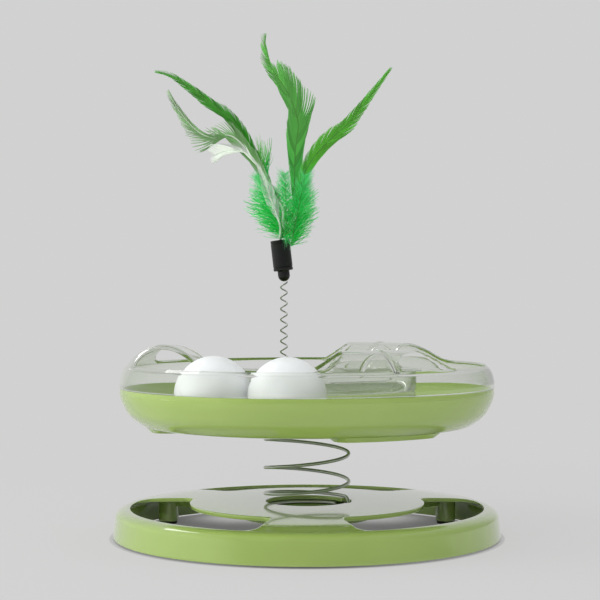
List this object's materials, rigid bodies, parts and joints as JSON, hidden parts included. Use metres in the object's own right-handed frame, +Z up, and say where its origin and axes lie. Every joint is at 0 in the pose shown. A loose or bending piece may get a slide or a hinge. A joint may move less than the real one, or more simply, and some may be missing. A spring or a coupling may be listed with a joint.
{
  "type": "cat ball tower",
  "caption": "Springy cat toy: a round slotted base, a coil spring, a ball track under a clear hooded cover and a feather wand on a thin spring.",
  "frame": {"origin": "centre of the base's underside, on the main spring's axis", "axes": "+Z up along the main spring, +X to the right as seen from the front, -Y towards the front, where both balls lie"},
  "size_m": [0.214, 0.214, 0.2809],
  "materials": {
    "base_plastic": "glossy light green",
    "tray_plastic": "glossy light green",
    "keeper_plastic": "satin green",
    "clear_plastic": "clear polished",
    "ball_plastic": "satin white",
    "pad_rubber": "soft matte",
    "screw_steel": "plain steel",
    "spring_steel": "bright drawn wire",
    "ferrule_plastic": "satin black",
    "green_feather": "dyed feather",
    "white_feather": "pale feather"
  },
  "bodies": {
    "base": {"base_shell": "base_plastic", "base_pad_1": "pad_rubber", "base_pad_2": "pad_rubber", "base_pad_3": "pad_rubber", "lower_spring_keeper": "keeper_plastic", "lower_screw_1": "screw_steel", "lower_screw_2": "screw_steel", "lower_screw_3": "screw_steel"},
    "spring": {"main_spring": "spring_steel"},
    "tray": {"tray": "tray_plastic", "track_cover": "clear_plastic", "upper_spring_keeper": "keeper_plastic", "upper_screw_1": "screw_steel", "upper_screw_2": "screw_steel", "wand_plug": "clear_plastic"},
    "ball_1": {"ball_1": "ball_plastic"},
    "ball_2": {"ball_2": "ball_plastic"},
    "wand": {"wand_spring": "spring_steel"},
    "feathers": {"feather_ferrule": "ferrule_plastic", "plume_centre": "green_feather", "plume_right": "green_feather", "plume_left_long": "green_feather", "plume_left_curled": "green_feather", "plume_white": "white_feather", "down_front_left": "green_feather", "down_front_right": "green_feather", "down_back": "green_feather"}
  },
  "joints": [
    {"name": "tray_lean", "type": "hinge", "parent": "base", "child": "spring", "pos_m": [0, 0, 0.01595], "axis": [0, 1, 0], "range_deg": [-8, 8], "stiffness_Nm_per_rad": 1.2, "deforming": ["main_spring"]},
    {"name": "tray_bounce", "type": "slide", "parent": "spring", "child": "tray", "axis": [0, 0, 1], "range_m": [-0.02, 0.008], "stiffness_N_per_m": 400, "deforming": ["main_spring"]},
    {"name": "ball_1_roll", "type": "hinge", "parent": "tray", "child": "ball_1", "pos_m": [0, 0, 0.0823], "axis": [0, 0, 1], "continuous": true},
    {"name": "ball_2_lead", "type": "hinge", "parent": "ball_1", "child": "ball_2", "pos_m": [0, 0, 0.0823], "axis": [0, 0, 1], "range_deg": [-0.4, 302]},
    {"name": "wand_sway", "type": "hinge", "parent": "tray", "child": "wand", "pos_m": [-0.0128, 0, 0.0965], "axis": [0, 1, 0], "range_deg": [-25, 25], "stiffness_Nm_per_rad": 0.12},
    {"name": "feather_nod", "type": "hinge", "parent": "wand", "child": "feathers", "pos_m": [-0.0128, 0, 0.1444], "axis": [1, 0, 0], "range_deg": [-30, 30], "stiffness_Nm_per_rad": 0.08}
  ]
}
